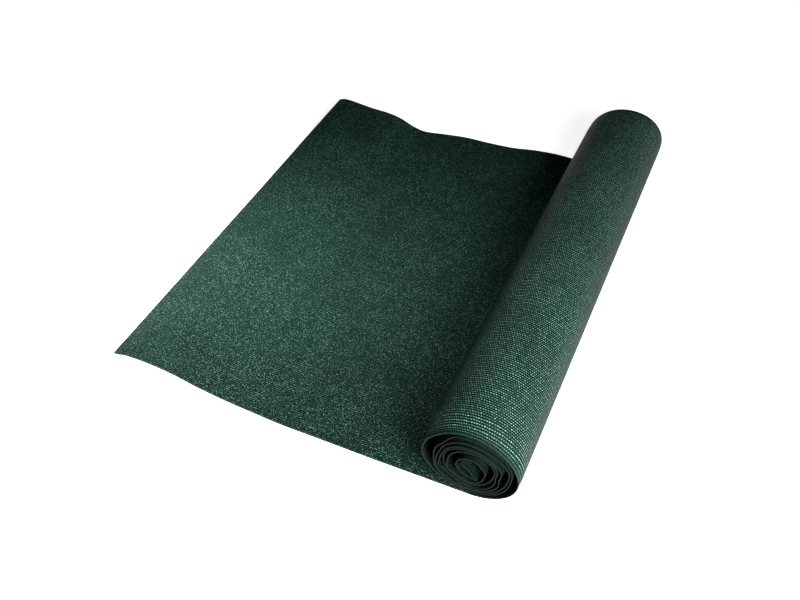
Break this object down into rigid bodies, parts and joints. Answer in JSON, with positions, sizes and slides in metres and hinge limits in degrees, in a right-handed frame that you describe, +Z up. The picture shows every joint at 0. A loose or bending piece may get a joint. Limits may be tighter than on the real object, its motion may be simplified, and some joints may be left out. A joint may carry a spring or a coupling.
{
  "type": "shade cloth roll",
  "caption": "Knitted shade cloth, loosely rolled up with its free end laid out flat on the ground.",
  "frame": {"origin": "centre of the bounding box, on the ground under the cloth", "axes": "+Y along the roll, +X from the free edge towards the roll, +Z up"},
  "size_m": [0.7728, 0.9418, 0.1611],
  "materials": {
    "knitted_cloth": "knitted polyethylene tape and thread, dark green, slight sheen"
  },
  "bodies": {
    "root": {"shade_cloth": "knitted_cloth"}
  },
  "joints": []
}
